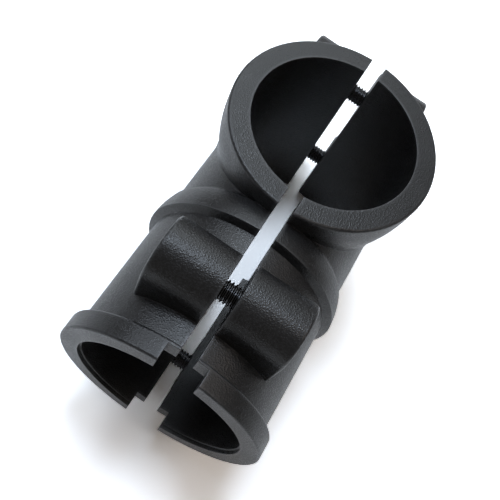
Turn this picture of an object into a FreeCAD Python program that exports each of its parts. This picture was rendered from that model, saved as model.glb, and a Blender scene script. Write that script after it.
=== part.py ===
import FreeCAD, Part
import os
import Sketcher

# Two-piece tee connector for two round tubes of one size.
# The run tube lies along Z and the leg tube along X, and the origin is where their axes cross.
# The connector is split on the XZ plane. The left half (Y below zero) takes the screw heads,
# the right half takes the nuts, and four screws along Y pull the halves onto the tubes.

document = FreeCAD.newDocument("tube_tee_connector")
sizes = document.addObject("Spreadsheet::Sheet", "Sizes")

driving_sizes = [
    ("tube_diameter", 48.3, "outside of the tubes that the connector holds"),
    ("split_gap", 4.6, "space between the halves with the screws just tight"),
    ("run_length", 68, "mouth to mouth along the run"),
    ("mouth_wall", 6.15, "wall at the run's mouths"),
    ("mouth_band", 5, "straight length of each thick mouth"),
    ("mouth_taper", 20, "length over which a mouth thins to the waist"),
    ("waist_wall", 3.75, "wall in the middle of the run"),
    ("leg_reach", 79, "run axis to the end of the leg"),
    ("neck_wall", 3.35, "wall between the run and the collar"),
    ("collar_wall", 5.85, "wall at the collar's front edge"),
    ("collar_back_wall", 4.65, "wall at the collar's back edge"),
    ("collar_end", 36.9, "run axis to the collar's front edge"),
    ("collar_length", 7.4, "back edge to front edge of the collar"),
    ("collar_hollow", 1.8, "length of the hollow curve from the neck up to the back edge"),
    ("collar_slope", 1.15, "length of the slope from the front edge down to the leg"),
    ("leg_wall", 3.65, "wall of the leg"),
    ("flange_wall", 6.05, "wall at the flange round the leg's end"),
    ("flange_width", 5.8, "length of the flange"),
    ("lead_depth", 1.2, "depth of the stepped lead-in inside the leg's end"),
    ("lead_step", 0.5, "how much wider the lead-in is, on the radius"),
    ("notch_width", 11, "width of the notch across the split in the leg's end"),
    ("notch_depth", 4.8, "depth of that notch"),
    ("rim_rounding", 0.8, "rounding of the mouths' outer edges"),
    ("flange_rounding", 0.6, "rounding of the flange's edges"),
    ("screw_standoff", 6.35, "tube surface to the axis of a screw"),
    ("run_screw_setback", 16.2, "each mouth of the run back to the screw behind it"),
    ("leg_screw_setback", 22.6, "end of the leg back to the two screws beside it"),
    ("barrel_diameter", 18.8, "rounded boss round each screw"),
    ("barrel_length", 39, "end to end over both halves"),
    ("barrel_rounding", 0.8, "rounding of a boss's end edges"),
    ("screw_diameter", 6, "metric screw"),
    ("head_diameter", 10, "screw head"),
    ("head_height", 6, "screw head"),
    ("head_chamfer", 0.4, "bevel of the head's outer edge"),
    ("head_sink", 0.4, "how far the head lies below the end of its boss"),
    ("socket_across", 5, "hexagon socket in the head, across flats"),
    ("socket_depth", 3, "hexagon socket in the head"),
    ("tip_stand", 0.4, "how far the screw stands out of the nut"),
    ("tip_chamfer", 0.7, "bevel of the screw's tip"),
    ("washer_diameter", 12, "washer"),
    ("washer_thickness", 1.6, "washer"),
    ("washer_play", 0.2, "washer hole to screw, on the radius"),
    ("washer_clearance", 0.4, "washer to its counterbore, on the radius"),
    ("nut_across", 10, "nut, across flats"),
    ("nut_height", 5, "nut"),
    ("nut_chamfer", 0.5, "bevel of the nut's corners"),
    ("nut_clearance", 0.15, "nut to its pocket, at each flat"),
    ("thread_clearance", 0.05, "screw to nut, on the radius"),
    ("hole_clearance", 0.3, "screw to the holes in the halves, on the radius"),
]
for row, (alias, size, note) in enumerate(driving_sizes, start=1):
    sizes.set(f"A{row}", alias)
    sizes.set(f"B{row}", str(size))
    sizes.set(f"C{row}", note)
    sizes.setAlias(f"B{row}", alias)
document.recompute()

# Lengths that follow from the driving sizes
bore_radius = "Sizes.tube_diameter / 2"
half_run = "Sizes.run_length / 2"
mouth_radius = f"({bore_radius} + Sizes.mouth_wall)"
waist_radius = f"({bore_radius} + Sizes.waist_wall)"
neck_radius = f"({bore_radius} + Sizes.neck_wall)"
collar_radius = f"({bore_radius} + Sizes.collar_wall)"
collar_back_radius = f"({bore_radius} + Sizes.collar_back_wall)"
leg_radius = f"({bore_radius} + Sizes.leg_wall)"
flange_radius = f"({bore_radius} + Sizes.flange_wall)"
screw_offset = f"({bore_radius} + Sizes.screw_standoff)"
barrel_radius = "Sizes.barrel_diameter / 2"
half_barrel = "Sizes.barrel_length / 2"
screw_radius = "Sizes.screw_diameter / 2"
hole_radius = f"({screw_radius} + Sizes.hole_clearance)"

# The screws keep their distance from the mouths beside them
run_screw_height = f"({half_run} - Sizes.run_screw_setback)"
leg_screw_reach = "(Sizes.leg_reach - Sizes.leg_screw_setback)"

# Both screw seats lie at this distance from the split plane: a washer and a head fit above the left one
seat = f"({half_barrel} - Sizes.head_sink - Sizes.head_height - Sizes.washer_thickness)"

# Under the head the screw passes the washer, both halves and the nut
screw_length = f"(2 * {seat} + Sizes.washer_thickness + Sizes.nut_height + Sizes.tip_stand)"

# A cutting tool runs this far past the face that it cuts
overrun = "2"

upright = FreeCAD.Rotation(FreeCAD.Vector(1, 0, 0), 90)
along_split_normal = FreeCAD.Rotation(FreeCAD.Vector(1, 0, 0), -90)
along_leg = FreeCAD.Rotation(FreeCAD.Vector(0, 1, 0), 90)


def number(expression):
    result = sizes.evalExpression(expression)
    return float(getattr(result, "Value", result))


def bind(item, **expressions):
    for name, expression in expressions.items():
        item.setExpression(name, expression)


def place(item, x="0", y="0", z="0", rotation=FreeCAD.Rotation()):
    item.Placement = FreeCAD.Placement(FreeCAD.Vector(), rotation)
    for axis, expression in zip("xyz", (x, y, z)):
        item.setExpression(f"Placement.Base.{axis}", expression)


def cylinder(name, radius, height, **where):
    item = document.addObject("Part::Cylinder", name)
    bind(item, Radius=radius, Height=height)
    place(item, **where)
    return item


def cone(name, first_radius, second_radius, height, **where):
    item = document.addObject("Part::Cone", name)
    bind(item, Radius1=first_radius, Radius2=second_radius, Height=height)
    place(item, **where)
    return item


def box(name, length, width, height, **where):
    item = document.addObject("Part::Box", name)
    bind(item, Length=length, Width=width, Height=height)
    place(item, **where)
    return item


def hexagon(name, across_flats, height, **where):
    item = document.addObject("Part::Prism", name)
    item.Polygon = 6
    bind(item, Circumradius=f"{across_flats} / sqrt(3)", Height=height)
    place(item, **where)
    return item


def fuse(name, *shapes):
    item = document.addObject("Part::MultiFuse", name)
    item.Shapes = list(shapes)
    item.Refine = True
    return item


def common(name, first, second):
    item = document.addObject("Part::MultiCommon", name)
    item.Shapes = [first, second]
    item.Refine = True
    return item


def cut(name, base, tool):
    item = document.addObject("Part::Cut", name)
    item.Base = base
    item.Tool = tool
    item.Refine = True
    return item


def rounded(name, base, wanted, radius):
    document.recompute()
    edges = [index for index, edge in enumerate(base.Shape.Edges, start=1) if wanted(edge)]
    item = document.addObject("Part::Fillet", name)
    item.Base = base
    item.Edges = [(index, number(radius), number(radius)) for index in edges]
    return item


# A closed outline on the XZ plane: its corners are pairs of expressions, and an arc may replace
# the side that starts at a corner. Its centre is level with, or straight above or below, the end
# named with it, so that the arc runs on smoothly from the side there.
def outline(name, corners, arcs):
    sketch = document.addObject("Sketcher::SketchObject", name)
    sketch.Placement = FreeCAD.Placement(FreeCAD.Vector(), upright)
    spots = [FreeCAD.Vector(number(across), number(up), 0) for across, up in corners]
    sides = []
    for index, start in enumerate(spots):
        end = spots[(index + 1) % len(spots)]
        if index not in arcs:
            sides.append((sketch.addGeometry(Part.LineSegment(start, end)), 1, 2))
            continue
        direction, level_end = arcs[index]
        level, other = (start, end) if level_end == "start" else (end, start)
        step = FreeCAD.Vector(1, 0, 0) if direction == "Horizontal" else FreeCAD.Vector(0, 1, 0)
        chord = other - level
        centre = level + step * (chord.Length ** 2 / (2 * chord.dot(step)))
        turn = (start - centre).cross(end - centre).z
        first, last = (start, end) if turn > 0 else (end, start)
        circle = Part.Circle(centre, FreeCAD.Vector(0, 0, 1), (start - centre).Length)
        arc = Part.ArcOfCircle(circle, circle.parameter(first), circle.parameter(last))
        number_of_side = sketch.addGeometry(arc)
        sides.append((number_of_side, 1, 2) if turn > 0 else (number_of_side, 2, 1))
    for index, (side, start_point, end_point) in enumerate(sides):
        following, following_start, _ = sides[(index + 1) % len(sides)]
        sketch.addConstraint(Sketcher.Constraint("Coincident", side, end_point, following, following_start))
        for kind, axis, expression in zip(("DistanceX", "DistanceY"), (-2, -1), corners[index]):
            if expression == "0":
                sketch.addConstraint(Sketcher.Constraint("PointOnObject", side, start_point, axis))
                continue
            size = Sketcher.Constraint(kind, -1, 1, side, start_point, number(expression))
            label = sketch.addConstraint(size)
            sketch.setExpression(f"Constraints[{label}]", expression)
        if index in arcs:
            direction, level_end = arcs[index]
            point = start_point if level_end == "start" else end_point
            sketch.addConstraint(Sketcher.Constraint(direction, side, 3, side, point))
    return sketch


def turned(name, sketch, axis):
    item = document.addObject("Part::Revolution", name)
    item.Source = sketch
    item.Axis = axis
    item.Angle = 360
    item.Solid = True
    return item


# Run sleeve: thick at both mouths, thinning to a waist in a smooth double curve
band_end = f"({half_run} - Sizes.mouth_band)"
taper_middle = f"({band_end} - Sizes.mouth_taper / 2)"
waist_end = f"({band_end} - Sizes.mouth_taper)"
taper_radius = f"(({mouth_radius} + {waist_radius}) / 2)"
run_corners = [
    ("0", f"-{half_run}"),
    (mouth_radius, f"-{half_run}"),
    (mouth_radius, f"-{band_end}"),
    (taper_radius, f"-{taper_middle}"),
    (waist_radius, f"-{waist_end}"),
    (waist_radius, waist_end),
    (taper_radius, taper_middle),
    (mouth_radius, band_end),
    (mouth_radius, half_run),
    ("0", half_run),
]
run_arcs = {
    2: ("Horizontal", "start"),
    3: ("Horizontal", "end"),
    5: ("Horizontal", "start"),
    6: ("Horizontal", "end"),
}
run_profile = outline("run_profile", run_corners, run_arcs)
run_turned = turned("run_turned", run_profile, FreeCAD.Vector(0, 0, 1))


def is_mouth_edge(edge):
    bounds = edge.BoundBox
    return bounds.ZLength < 0.001 and abs(bounds.ZMax) > number(half_run) - 0.001


run_sleeve = rounded("run_sleeve", run_turned, is_mouth_edge, "Sizes.rim_rounding")

# Leg: neck, collar with a crowned top, plain sleeve and end flange
collar_back = "(Sizes.collar_end - Sizes.collar_length)"
collar_foot = f"({collar_back} - Sizes.collar_hollow)"
slope_end = "(Sizes.collar_end + Sizes.collar_slope)"
flange_start = "(Sizes.leg_reach - Sizes.flange_width)"
leg_corners = [
    ("0", "0"),
    ("Sizes.leg_reach", "0"),
    ("Sizes.leg_reach", flange_radius),
    (flange_start, flange_radius),
    (flange_start, leg_radius),
    (slope_end, leg_radius),
    ("Sizes.collar_end", collar_radius),
    (collar_back, collar_back_radius),
    (collar_foot, neck_radius),
    ("0", neck_radius),
]
leg_arcs = {6: ("Vertical", "start"), 7: ("Vertical", "end")}
leg_profile = outline("leg_profile", leg_corners, leg_arcs)
leg_turned = turned("leg_turned", leg_profile, FreeCAD.Vector(1, 0, 0))


def is_flange_edge(edge):
    bounds = edge.BoundBox
    return bounds.XLength < 0.001 and abs(bounds.ZMax - number(flange_radius)) < 0.001


leg_sleeve = rounded("leg_sleeve", leg_turned, is_flange_edge, "Sizes.flange_rounding")


# Screw boss: round on the outside, with straight sides down to the tube's axis plane
def is_boss_end_edge(edge):
    bounds = edge.BoundBox
    at_end = bounds.YLength < 0.001 and abs(bounds.YMax) > number(half_barrel) - 0.001
    return at_end and bounds.ZMax > 0.001


def screw_boss(name, **where):
    round_part = cylinder(f"{name}_round", barrel_radius, "Sizes.barrel_length",
                          y=f"-{half_barrel}", z=screw_offset, rotation=along_split_normal)
    web = box(f"{name}_web", "Sizes.barrel_diameter", "Sizes.barrel_length", screw_offset,
              x=f"-{barrel_radius}", y=f"-{half_barrel}")
    block = fuse(f"{name}_block", round_part, web)
    boss = rounded(name, block, is_boss_end_edge, "Sizes.barrel_rounding")
    place(boss, **where)
    return boss


outward_back = FreeCAD.Rotation(FreeCAD.Vector(0, 1, 0), -90)
outward_down = FreeCAD.Rotation(FreeCAD.Vector(0, 1, 0), 180)
bosses = [
    screw_boss("boss_run_upper", z=run_screw_height, rotation=outward_back),
    screw_boss("boss_run_lower", z=f"-{run_screw_height}", rotation=outward_back),
    screw_boss("boss_leg_front", x=leg_screw_reach),
    screw_boss("boss_leg_back", x=leg_screw_reach, rotation=outward_down),
]
tee_form = fuse("tee_form", run_sleeve, leg_sleeve, *bosses)

# Screw axes as (x, z)
screw_axes = {
    "run_upper": (f"-{screw_offset}", run_screw_height),
    "run_lower": (f"-{screw_offset}", f"-{run_screw_height}"),
    "leg_front": (leg_screw_reach, screw_offset),
    "leg_back": (leg_screw_reach, f"-{screw_offset}"),
}


# Hollows: both bores, the notched end of the leg and a stepped hole for each screw
def screw_hole(name, x, z):
    hole = cylinder(f"hole_{name}", hole_radius, "Sizes.barrel_length",
                    x=x, y=f"-{half_barrel}", z=z, rotation=along_split_normal)
    washer_well = cylinder(f"washer_well_{name}", "Sizes.washer_diameter / 2 + Sizes.washer_clearance",
                           f"{half_barrel} - {seat} + {overrun}",
                           x=x, y=f"-{half_barrel} - {overrun}", z=z, rotation=along_split_normal)
    nut_pocket = hexagon(f"nut_pocket_{name}", "(Sizes.nut_across + 2 * Sizes.nut_clearance)",
                         f"{half_barrel} - {seat} + {overrun}",
                         x=x, y=seat, z=z, rotation=along_split_normal)
    return [hole, washer_well, nut_pocket]


run_bore = cylinder("run_bore", bore_radius, f"Sizes.run_length + 2 * {overrun}",
                    z=f"-{half_run} - {overrun}")
leg_bore = cylinder("leg_bore", bore_radius, f"Sizes.leg_reach + {overrun}", rotation=along_leg)
lead_in = cylinder("lead_in", f"{bore_radius} + Sizes.lead_step", f"Sizes.lead_depth + {overrun}",
                   x="Sizes.leg_reach - Sizes.lead_depth", rotation=along_leg)
notch = box("notch", f"Sizes.notch_depth + {overrun}", "Sizes.notch_width", f"3 * {flange_radius}",
            x="Sizes.leg_reach - Sizes.notch_depth", y="-Sizes.notch_width / 2",
            z=f"-1.5 * {flange_radius}")
hollows = [run_bore, leg_bore, lead_in, notch]
for name, (x, z) in screw_axes.items():
    hollows += screw_hole(name, x, z)
hollow = fuse("hollow", *hollows)
tee_shell = cut("tee_shell", tee_form, hollow)

# Halves: what lies beyond half the gap on either side of the split plane
side_length = f"(4 * {half_run} + 2 * Sizes.leg_reach)"
side_width = f"2 * {mouth_radius}"
left_space = box("left_space", side_length, side_width, side_length,
                 x=f"-{side_length} / 2", y=f"-{side_width} - Sizes.split_gap / 2", z=f"-{side_length} / 2")
right_space = box("right_space", side_length, side_width, side_length,
                  x=f"-{side_length} / 2", y="Sizes.split_gap / 2", z=f"-{side_length} / 2")
parts = {
    "clamp_half_left": common("clamp_half_left", tee_shell, left_space),
    "clamp_half_right": common("clamp_half_right", tee_shell, right_space),
}


# Socket cap screw: its head's underside bears on the washer
def cap_screw(name):
    underside = f"(-{seat} - Sizes.washer_thickness)"
    head_radius = "Sizes.head_diameter / 2"
    shank = cylinder(f"{name}_shank", screw_radius, f"{screw_length} - Sizes.tip_chamfer", z=underside)
    tip = cone(f"{name}_tip", screw_radius, f"{screw_radius} - Sizes.tip_chamfer", "Sizes.tip_chamfer",
               z=f"{underside} + {screw_length} - Sizes.tip_chamfer")
    head = cylinder(f"{name}_head", head_radius, "Sizes.head_height - Sizes.head_chamfer",
                    z=f"{underside} - Sizes.head_height + Sizes.head_chamfer")
    bevel = cone(f"{name}_bevel", f"{head_radius} - Sizes.head_chamfer", head_radius, "Sizes.head_chamfer",
                 z=f"{underside} - Sizes.head_height")
    blank = fuse(f"{name}_blank", shank, tip, head, bevel)
    socket = hexagon(f"{name}_socket", "Sizes.socket_across", f"Sizes.socket_depth + {overrun}",
                     z=f"{underside} - Sizes.head_height - {overrun}")
    return cut(name, blank, socket)


def washer(name):
    disc = cylinder(f"{name}_disc", "Sizes.washer_diameter / 2", "Sizes.washer_thickness",
                    z=f"-{seat} - Sizes.washer_thickness")
    opening = cylinder(f"{name}_opening", f"{screw_radius} + Sizes.washer_play",
                       f"Sizes.washer_thickness + 2 * {overrun}",
                       z=f"-{seat} - Sizes.washer_thickness - {overrun}")
    return cut(name, disc, opening)


# Hexagon nut with its corners bevelled on both faces
def nut(name):
    prism = hexagon(f"{name}_prism", "Sizes.nut_across", "Sizes.nut_height", z=seat)
    corner_radius = "Sizes.nut_across / sqrt(3)"
    bevelled_radius = f"{corner_radius} - Sizes.nut_chamfer * sqrt(3)"
    first_bevel = cone(f"{name}_first_bevel", bevelled_radius, corner_radius, "Sizes.nut_chamfer", z=seat)
    middle = cylinder(f"{name}_middle", corner_radius, "Sizes.nut_height - 2 * Sizes.nut_chamfer",
                      z=f"{seat} + Sizes.nut_chamfer")
    last_bevel = cone(f"{name}_last_bevel", corner_radius, bevelled_radius, "Sizes.nut_chamfer",
                      z=f"{seat} + Sizes.nut_height - Sizes.nut_chamfer")
    envelope = fuse(f"{name}_envelope", first_bevel, middle, last_bevel)
    blank = common(f"{name}_blank", prism, envelope)
    thread = cylinder(f"{name}_thread", f"{screw_radius} + Sizes.thread_clearance",
                      f"Sizes.nut_height + 2 * {overrun}", z=f"{seat} - {overrun}")
    return cut(name, blank, thread)


for name, (x, z) in screw_axes.items():
    for kind, make in (("screw", cap_screw), ("washer", washer), ("nut", nut)):
        node = f"{kind}_{name}"
        parts[node] = make(node)
        place(parts[node], x=x, z=z, rotation=along_split_normal)

document.recompute()
for item in document.Objects:
    if "Invalid" in item.State or "Error" in item.State:
        raise RuntimeError(f"{item.Name} failed: {item.State}")

os.makedirs("parts", exist_ok=True)
for node, item in parts.items():
    item.Label = node
    shape = item.Shape
    if shape.isNull() or not shape.isValid() or not shape.Solids:
        raise RuntimeError(f"{node} has no valid solid")
    shape.exportStep(f"parts/{node}.step")
    print(node, len(shape.Solids), "solid", round(shape.Volume, 1), "mm3")
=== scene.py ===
import math
import bmesh
import bpy
from mathutils import Matrix, Vector


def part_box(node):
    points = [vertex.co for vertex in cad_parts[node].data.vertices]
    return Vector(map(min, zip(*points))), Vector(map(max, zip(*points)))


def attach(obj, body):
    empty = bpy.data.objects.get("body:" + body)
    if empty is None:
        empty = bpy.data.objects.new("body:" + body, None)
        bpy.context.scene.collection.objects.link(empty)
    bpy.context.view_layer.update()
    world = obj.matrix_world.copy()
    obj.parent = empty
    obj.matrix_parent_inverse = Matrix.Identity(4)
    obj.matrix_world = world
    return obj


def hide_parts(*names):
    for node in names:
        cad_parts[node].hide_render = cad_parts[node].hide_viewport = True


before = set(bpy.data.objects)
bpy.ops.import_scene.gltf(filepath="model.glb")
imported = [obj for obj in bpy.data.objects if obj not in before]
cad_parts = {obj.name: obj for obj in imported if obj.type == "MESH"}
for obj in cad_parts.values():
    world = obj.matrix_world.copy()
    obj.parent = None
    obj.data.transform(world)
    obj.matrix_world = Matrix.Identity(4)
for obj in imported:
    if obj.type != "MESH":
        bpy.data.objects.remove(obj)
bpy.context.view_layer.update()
print("frame loaded")

mmPerMetre = 1000


def mm(*values):
    scaled = [value / mmPerMetre for value in values]
    return scaled[0] if len(scaled) == 1 else Vector(scaled)


# Camera: the connector lies with its end rings up and is seen from above its leg

cameraView = {
    "place": (121.93, -3.80, 173.91),      # mm, from the crossing of the tube axes
    "right": (-0.4829, 0.8321, 0.2762),    # the picture's right in the connector's frame
    "down": (0.7337, 0.5562, -0.3927),     # and the picture's down
    "lens": 48.27,                         # mm
    "sensor": 36,                          # mm
    "nearest": 10,                         # mm, nothing nearer is drawn
}


def addCamera(view):
    right = Vector(view["right"]).normalized()
    down = Vector(view["down"])
    down = (down - right * down.dot(right)).normalized()
    turn = Matrix((right, -down, right.cross(-down))).transposed()
    lens = bpy.data.cameras.new("photoCamera")
    lens.lens = view["lens"]
    lens.sensor_width = view["sensor"]
    lens.clip_start = mm(view["nearest"])
    camera = bpy.data.objects.new("photoCamera", lens)
    camera.matrix_world = Matrix.Translation(mm(*view["place"])) @ turn.to_4x4()
    bpy.context.scene.collection.objects.link(camera)
    bpy.context.scene.camera = camera


addCamera(cameraView)
print("camera placed")

# Materials: colours are sRGB, sizes of patterns are in mm

noiseSpan = (0.3, 0.7)    # nearly all of a noise texture lies between these
plainWhite = 1.0          # strength that the picture shows as white


# By the sRGB curve, which is straight near black
def linear(hexColour):
    channels = [int(hexColour[i:i + 2], 16) / 255 for i in (1, 3, 5)]
    return (*(c / 12.92 if c <= 0.04045 else ((c + 0.055) / 1.055) ** 2.4 for c in channels), 1.0)


def perMetre(sizeMm):
    return mmPerMetre / sizeMm    # pattern scale for a feature of this size


def addNode(tree, kind, inputs=None, **settings):
    node = tree.nodes.new(kind)
    for name, value in settings.items():
        setattr(node, name, value)
    for name, value in (inputs or {}).items():
        if isinstance(value, bpy.types.NodeSocket):
            tree.links.new(value, node.inputs[name])
        else:
            node.inputs[name].default_value = value
    return node


def newMaterial(name):
    material = bpy.data.materials.new(name)
    material.use_nodes = True
    material.node_tree.nodes.clear()
    return material, material.node_tree


def finishMaterial(tree, shader):
    output = addNode(tree, "ShaderNodeOutputMaterial")
    tree.links.new(shader.outputs[0], output.inputs["Surface"])


# Glass-filled polyamide from a spark-eroded mould: black and dull, with a fine pebbled grain
# and paler outer edges, partly rubbed and partly a painted highlight
polyamide = {
    "black": "#101011",
    "grey": "#2a2a2b",            # on the grain's peaks, where fibres lie near the skin
    "roughness": (0.22, 0.40),    # on the grain's peaks, which handling polishes, and in its pits
    "polishSpan": (0.2, 0.9),     # heights of the grain between which the roughness changes
    "unevenness": 0.04,           # of the roughness, from place to place
    "ior": 1.53,
    "grain": 0.45,                # the real grain is nearer 0.2 but has to show at this size
    "grainDepth": 0.045,
    "grainSoftness": 0.4,         # how softly one pebble runs into the next
    "grainReach": 0.7,            # from a peak to the pit beside it, in pebbles
    "mottle": 9,
    "edge": 0.3,                  # radius of the small moulded edges
    "edgeSamples": 8,
    "wornAndHighlitEdge": "#505153",            # along outer edges: partly rubbed by handling, partly a painted highlight on their rounding
    "wornWidth": 1.0,
    "wornSpan": (0.95, 0.6),      # how solid it is behind the skin of a face, and of a fully worn edge
    "wornSamples": 4,
    "wornShine": 0.12,            # a worn edge is smoother by this
    # how strongly the paler edge shows, part wear and part painted highlight
    "wearAndEdgeHighlight": 1.1,
}


def polyamideMaterial(look):
    material, tree = newMaterial("glassFilledPolyamide")
    place = addNode(tree, "ShaderNodeTexCoord").outputs["Object"]
    mottle = addNode(tree, "ShaderNodeTexNoise", {
        "Vector": place, "Scale": perMetre(look["mottle"])})

    # The mould's grain, over softened edges
    pebbles = addNode(tree, "ShaderNodeTexVoronoi", {
        "Vector": place, "Scale": perMetre(look["grain"]), "Smoothness": look["grainSoftness"]},
        feature="SMOOTH_F1")
    grain = addNode(tree, "ShaderNodeMapRange", {
        "Value": pebbles.outputs["Distance"], "From Max": look["grainReach"],
        "To Min": 1.0, "To Max": 0.0}, interpolation_type="SMOOTHSTEP")
    edge = addNode(tree, "ShaderNodeBevel", {
        "Radius": mm(look["edge"])}, samples=look["edgeSamples"])
    bump = addNode(tree, "ShaderNodeBump", {
        "Height": grain.outputs["Result"], "Distance": mm(look["grainDepth"]),
        "Normal": edge.outputs["Normal"]})

    # Wear and a painted highlight along the outer edges, paler in one place than in another
    rim = addNode(tree, "ShaderNodeAmbientOcclusion", {
        "Distance": mm(look["wornWidth"])}, samples=look["wornSamples"], inside=True, only_local=True)
    onFace, onEdge = look["wornSpan"]
    rubbedAndHighlit = addNode(tree, "ShaderNodeMapRange", {
        "Value": rim.outputs["AO"], "From Min": onFace, "From Max": onEdge, "To Max": look["wearAndEdgeHighlight"]})
    wearAndEdgeHighlight = addNode(tree, "ShaderNodeMath", {
        0: rubbedAndHighlit.outputs["Result"], 1: mottle.outputs["Fac"]}, operation="MULTIPLY")

    moulded = addNode(tree, "ShaderNodeMix", {
        "Factor": grain.outputs["Result"], "A": linear(look["black"]), "B": linear(look["grey"])},
        data_type="RGBA")
    # paler outer edges: partly rubbed, partly a painted highlight
    colour = addNode(tree, "ShaderNodeMix", {
        "Factor": wearAndEdgeHighlight.outputs["Value"], "A": moulded.outputs["Result"], "B": linear(look["wornAndHighlitEdge"])},
        data_type="RGBA")

    peaks, pits = look["roughness"]
    low, high = look["polishSpan"]
    polish = addNode(tree, "ShaderNodeMapRange", {
        "Value": grain.outputs["Result"], "From Min": low, "From Max": high,
        "To Min": pits, "To Max": peaks})
    drift = addNode(tree, "ShaderNodeMapRange", {
        "Value": mottle.outputs["Fac"], "From Min": noiseSpan[0], "From Max": noiseSpan[1],
        "To Min": -look["unevenness"], "To Max": look["unevenness"]})
    skin = addNode(tree, "ShaderNodeMath", {
        0: polish.outputs["Result"], 1: drift.outputs["Result"]}, operation="ADD")
    roughness = addNode(tree, "ShaderNodeMath", {
        0: wearAndEdgeHighlight.outputs["Value"], 1: -look["wornShine"], 2: skin.outputs["Value"]},
        operation="MULTIPLY_ADD")

    shader = addNode(tree, "ShaderNodeBsdfPrincipled", {
        "Base Color": colour.outputs["Result"], "Roughness": roughness.outputs["Value"],
        "IOR": look["ior"], "Normal": bump.outputs["Normal"]})
    finishMaterial(tree, shader)
    return material


# Blackened steel: an oxide skin over cut threads, dark with soft glints
blackSteel = {"colour": "#4c4c4e", "roughness": (0.20, 0.34), "pits": 0.4, "pitDepth": 0.006}

# Zinc from a plating bath over steel: pale and bright, with a slightly uneven shine
zincPlate = {"colour": "#b9bcc0", "roughness": (0.24, 0.38), "pits": 0.8, "pitDepth": 0.006}

pitNoise = {"Detail": 3.0, "Roughness": 0.6}    # finer pits between the large ones, in both


def metalMaterial(name, look):
    material, tree = newMaterial(name)
    place = addNode(tree, "ShaderNodeTexCoord").outputs["Object"]
    pits = addNode(tree, "ShaderNodeTexNoise", {
        "Vector": place, "Scale": perMetre(look["pits"]), **pitNoise})
    bump = addNode(tree, "ShaderNodeBump", {
        "Height": pits.outputs["Fac"], "Distance": mm(look["pitDepth"])})
    smooth, rough = look["roughness"]
    roughness = addNode(tree, "ShaderNodeMapRange", {
        "Value": pits.outputs["Fac"], "From Min": noiseSpan[0], "From Max": noiseSpan[1],
        "To Min": smooth, "To Max": rough})
    shader = addNode(tree, "ShaderNodeBsdfPrincipled", {
        "Base Color": linear(look["colour"]), "Metallic": 1.0,
        "Roughness": roughness.outputs["Result"], "Normal": bump.outputs["Normal"]})
    finishMaterial(tree, shader)
    return material


# By the first word of a CAD node's name
finishes = {
    "clamp": polyamideMaterial(polyamide),
    "screw": metalMaterial("blackenedSteel", blackSteel),
    "washer": metalMaterial("zincPlatedSteel", zincPlate),
}
finishes["nut"] = finishes["washer"]

for node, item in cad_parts.items():
    item.data.materials.clear()
    item.data.materials.append(finishes[node.split("_")[0]])
print("materials made")

# Screws: socket heads with a straight knurl, and cut threads that show in the split

capScrew = {                    # mm
    "diameter": 5.94,           # over the thread's crests
    "pitch": 1.0,
    "threadDepth": 0.56,
    "crestFlat": 0.125,         # parts of the pitch
    "rootFlat": 0.25,
    "spareTurns": (2, 1),       # before and after the thread's length, for the two cuts
    "turnSteps": 28,
    "weld": 0.001,
    "inHead": 0.5,              # the thread's end stands this far in the head
    "plainNeck": 1.2,           # under the head the thread runs out
    "neckRelief": 0.1,
    "tipEdge": 0.75,
    "headHeight": 6.0,
    "headDiameter": 10.0,
    "headEdge": 0.4,
    "knurls": 48,
    "knurlDepth": 0.14,
    "socket": 5.0,              # across flats
    "socketDepth": 3.0,
    "sharpAngle": 28,           # degrees, an edge sharper than this stays crisp
    # radians, so that no two threads start alike
    "threadStarts": {"run_upper": 0.0, "run_lower": 2.2, "leg_front": 4.1, "leg_back": 1.3},
}


def raiseFace(shape, face, lift, keepBase=False):
    made = bmesh.ops.extrude_face_region(shape, geom=[face])["geom"]
    if not keepBase:
        bmesh.ops.delete(shape, geom=[face], context="FACES_ONLY")
    verts = [item for item in made if isinstance(item, bmesh.types.BMVert)]
    bmesh.ops.translate(shape, vec=(0, 0, lift), verts=verts)
    return next(item for item in made if isinstance(item, bmesh.types.BMFace)), verts


def setRadius(verts, radiusAt):
    for vert in verts:
        flat = vert.co.xy
        flat = flat.normalized() * radiusAt(math.atan2(flat.y, flat.x))
        vert.co.x, vert.co.y = flat


def addHead(shape, look):
    radius = look["headDiameter"] / 2
    edge = look["headEdge"]
    ring = bmesh.ops.create_circle(
        shape, cap_ends=True, segments=2 * look["knurls"], radius=radius)["verts"]
    groove = 1 - look["knurlDepth"] / radius
    bmesh.ops.scale(shape, vec=(groove, groove, 1), verts=ring[::2])
    face = raiseFace(shape, ring[0].link_faces[0], edge - look["headHeight"], keepBase=True)[0]
    face, verts = raiseFace(shape, face, -edge)
    setRadius(verts, lambda angle: radius - edge)
    face, verts = raiseFace(shape, face, 0)
    side = math.pi / 3    # the angle that one side of the hexagon socket takes
    flat = look["socket"] / 2
    setRadius(verts, lambda angle: flat / math.cos((angle + side / 2) % side - side / 2))
    raiseFace(shape, face, look["socketDepth"])


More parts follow.
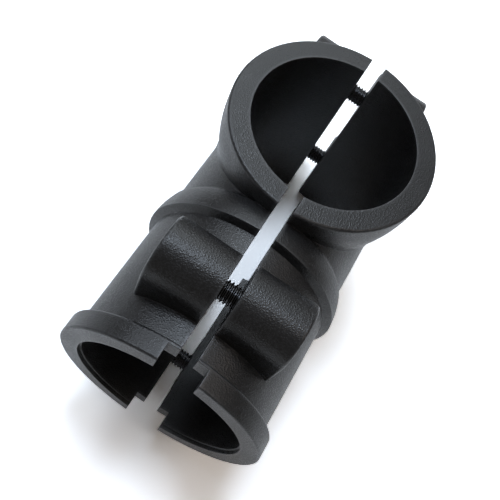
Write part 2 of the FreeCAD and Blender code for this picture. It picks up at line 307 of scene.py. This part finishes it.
def addThread(shape, look, length, start):
    pitch = look["pitch"]
    crest = look["diameter"] / 2
    root = crest - look["threadDepth"]
    flank = (1 - look["rootFlat"] - look["crestFlat"]) / 2
    tooth = [(root, 0), (root, look["rootFlat"]), (crest, look["rootFlat"] + flank),
             (crest, 1 - flank), (root, 1)]
    before, after = look["spareTurns"]
    turns = before + math.ceil(length / pitch) + after
    verts = [shape.verts.new((radius, 0, (height - before) * pitch)) for radius, height in tooth]
    edges = [shape.edges.new(pair) for pair in zip(verts, verts[1:])]
    bmesh.ops.rotate(shape, verts=verts, matrix=Matrix.Rotation(start, 3, "Z"))
    bmesh.ops.spin(shape, geom=verts + edges, axis=(0, 0, 1), angle=turns * math.tau,
                   dvec=(0, 0, pitch / look["turnSteps"]), steps=turns * look["turnSteps"])
    bmesh.ops.remove_doubles(shape, verts=shape.verts, dist=look["weld"])
    for height, cutEnd in ((-look["inHead"], "clear_inner"), (length, "clear_outer")):
        whole = shape.verts[:] + shape.edges[:] + shape.faces[:]
        cut = bmesh.ops.bisect_plane(shape, geom=whole, plane_co=(0, 0, height),
                                     plane_no=(0, 0, 1), **{cutEnd: True})
        rim = [item for item in cut["geom_cut"] if isinstance(item, bmesh.types.BMEdge)]
        bmesh.ops.contextual_create(shape, geom=rim)
    neck = [vert for vert in shape.verts if vert.co.z < look["plainNeck"]]
    setRadius(neck, lambda angle: crest - look["neckRelief"])
    for vert in shape.verts:
        tipRadius = crest - look["tipEdge"] + length - vert.co.z
        if vert.co.xy.length > tipRadius:
            setRadius([vert], lambda angle: tipRadius)


def addScrew(name, look, material):
    low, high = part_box("screw_" + name)
    length = (high[1] - low[1]) * mmPerMetre - look["headHeight"]
    shape = bmesh.new()
    addThread(shape, look, length, look["threadStarts"][name])
    addHead(shape, look)
    bmesh.ops.recalc_face_normals(shape, faces=shape.faces)
    underHead = Vector(((low[0] + high[0]) / 2, low[1] + mm(look["headHeight"]), (low[2] + high[2]) / 2))
    alongY = Matrix.Rotation(-math.pi / 2, 4, "X")
    place = Matrix.Translation(underHead) @ alongY @ Matrix.Scale(mm(1), 4)
    bmesh.ops.transform(shape, matrix=place, verts=shape.verts)
    mesh = bpy.data.meshes.new("capScrew_" + name)
    shape.to_mesh(mesh)
    shape.free()
    mesh.materials.append(material)
    mesh.set_sharp_from_angle(angle=math.radians(look["sharpAngle"]))
    screw = bpy.data.objects.new("capScrew_" + name, mesh)
    bpy.context.scene.collection.objects.link(screw)
    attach(screw, name + "_screw")
    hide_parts("screw_" + name)
    print(screw.name, len(mesh.polygons), "faces")


for name in capScrew["threadStarts"]:
    addScrew(name, capScrew, finishes["screw"])

# White, for the floor and the room: the camera sees all of it and reflections show a share,
# but it throws no light on the connector


def whiteShare(tree, mirrored):
    rays = addNode(tree, "ShaderNodeLightPath")
    share = addNode(tree, "ShaderNodeMath", {
        0: rays.outputs["Is Glossy Ray"], 1: mirrored, 2: rays.outputs["Is Camera Ray"]},
        operation="MULTIPLY_ADD")
    return share.outputs["Value"]


# White paper: pale grey in the light that it throws back, bleached to white in the picture
paper = {
    "lit": "#e8ebec",
    "seen": 2.3,            # this many times as bright as a white sheet
    "mirrored": 0.35,
    "fade": (300, 600),     # mm from the connector, where the sheet runs over into plain white
}


def paperMaterial(look):
    material, tree = newMaterial("whitePaper")
    place = addNode(tree, "ShaderNodeTexCoord").outputs["Object"]
    distance = addNode(tree, "ShaderNodeVectorMath", {0: place}, operation="LENGTH")
    near, far = mm(*look["fade"])
    fade = addNode(tree, "ShaderNodeMapRange", {
        "Value": distance.outputs["Value"], "From Min": near, "From Max": far},
        interpolation_type="SMOOTHSTEP")
    lit = addNode(tree, "ShaderNodeBsdfDiffuse", {"Color": linear(look["lit"])})
    seen = addNode(tree, "ShaderNodeBsdfDiffuse", {"Color": (look["seen"],) * 3 + (1.0,)})
    plain = addNode(tree, "ShaderNodeEmission", {"Strength": plainWhite})
    bleached = addNode(tree, "ShaderNodeMixShader", {
        0: fade.outputs["Result"], 1: seen.outputs[0], 2: plain.outputs[0]})
    mixed = addNode(tree, "ShaderNodeMixShader", {
        0: whiteShare(tree, look["mirrored"]), 1: lit.outputs[0], 2: bleached.outputs[0]})
    finishMaterial(tree, mixed)
    return material


# Floor: the connector rests on the run's lower mouth and the leg's lower boss

floorSheet = {                      # mm
    "runRim": (-30.3, -34.0),       # x and z of each place where it rests
    "bossAxis": (56.4, -30.5),
    "bossRadius": 9.4,
    "size": 4000,
}


def addFloor(sheet, material):
    rim = Vector(sheet["runRim"])
    axis = Vector(sheet["bossAxis"])
    toAxis = axis - rim
    lean = math.atan2(toAxis.y, toAxis.x) - math.asin(sheet["bossRadius"] / toAxis.length)
    mesh = bpy.data.meshes.new("floor")
    shape = bmesh.new()
    bmesh.ops.create_grid(shape, x_segments=1, y_segments=1, size=mm(sheet["size"]) / 2)
    place = Matrix.Translation(mm(rim.x, 0, rim.y)) @ Matrix.Rotation(-lean, 4, "Y")
    bmesh.ops.transform(shape, matrix=place, verts=shape.verts)
    shape.to_mesh(mesh)
    shape.free()
    mesh.materials.append(material)
    floor = bpy.data.objects.new("floor", mesh)
    bpy.context.scene.collection.objects.link(floor)
    print("floor leans", round(math.degrees(lean), 2), "degrees")


addFloor(floorSheet, paperMaterial(paper))

# Light: broad soft lamps, two behind the left half, one beside it and one over the right half

lampAim = (20, 0, 0)    # mm, the connector's middle
lamps = [
    {"name": "keyLamp", "from": (-830, -290, 820), "size": 850, "power": 4.2, "colour": "#f0f9ff"},
    {"name": "sideLamp", "from": (-110, -790, 890), "size": 600, "power": 3.2, "colour": "#e7f1ff"},
    {"name": "topLamp", "from": (-210, -200, 1160), "size": 350, "power": 5.1, "colour": "#e1efff"},
    {"name": "rightLamp", "from": (-60, 560, 1060), "size": 700, "power": 1.8, "colour": "#fff2e8"},
]


def addLamp(lamp):
    data = bpy.data.lights.new(lamp["name"], "AREA")
    data.energy = lamp["power"]
    data.color = linear(lamp["colour"])[:3]
    data.shape = "DISK"
    data.size = mm(lamp["size"])
    item = bpy.data.objects.new(lamp["name"], data)
    item.location = mm(*lamp["from"])
    item.rotation_euler = (mm(*lampAim) - item.location).to_track_quat("-Z", "Y").to_euler()
    bpy.context.scene.collection.objects.link(item)


for lamp in lamps:
    addLamp(lamp)

# A dim warm room, which the picture shows white
room = {"colour": "#fff4ea", "strength": 0.13, "seen": "#ffffff", "mirrored": 0.05}


def addWorld(look):
    world = bpy.data.worlds.new("paleRoom")
    bpy.context.scene.world = world
    world.use_nodes = True
    tree = world.node_tree
    tree.nodes.clear()
    dim = addNode(tree, "ShaderNodeBackground", {
        "Color": linear(look["colour"]), "Strength": look["strength"]})
    white = addNode(tree, "ShaderNodeBackground", {
        "Color": linear(look["seen"]), "Strength": plainWhite})
    mixed = addNode(tree, "ShaderNodeMixShader", {
        0: whiteShare(tree, look["mirrored"]), 1: dim.outputs[0], 2: white.outputs[0]})
    output = addNode(tree, "ShaderNodeOutputWorld")
    tree.links.new(mixed.outputs[0], output.inputs["Surface"])


addWorld(room)
bpy.context.scene.view_settings.view_transform = "Standard"
print("floor and lights placed")
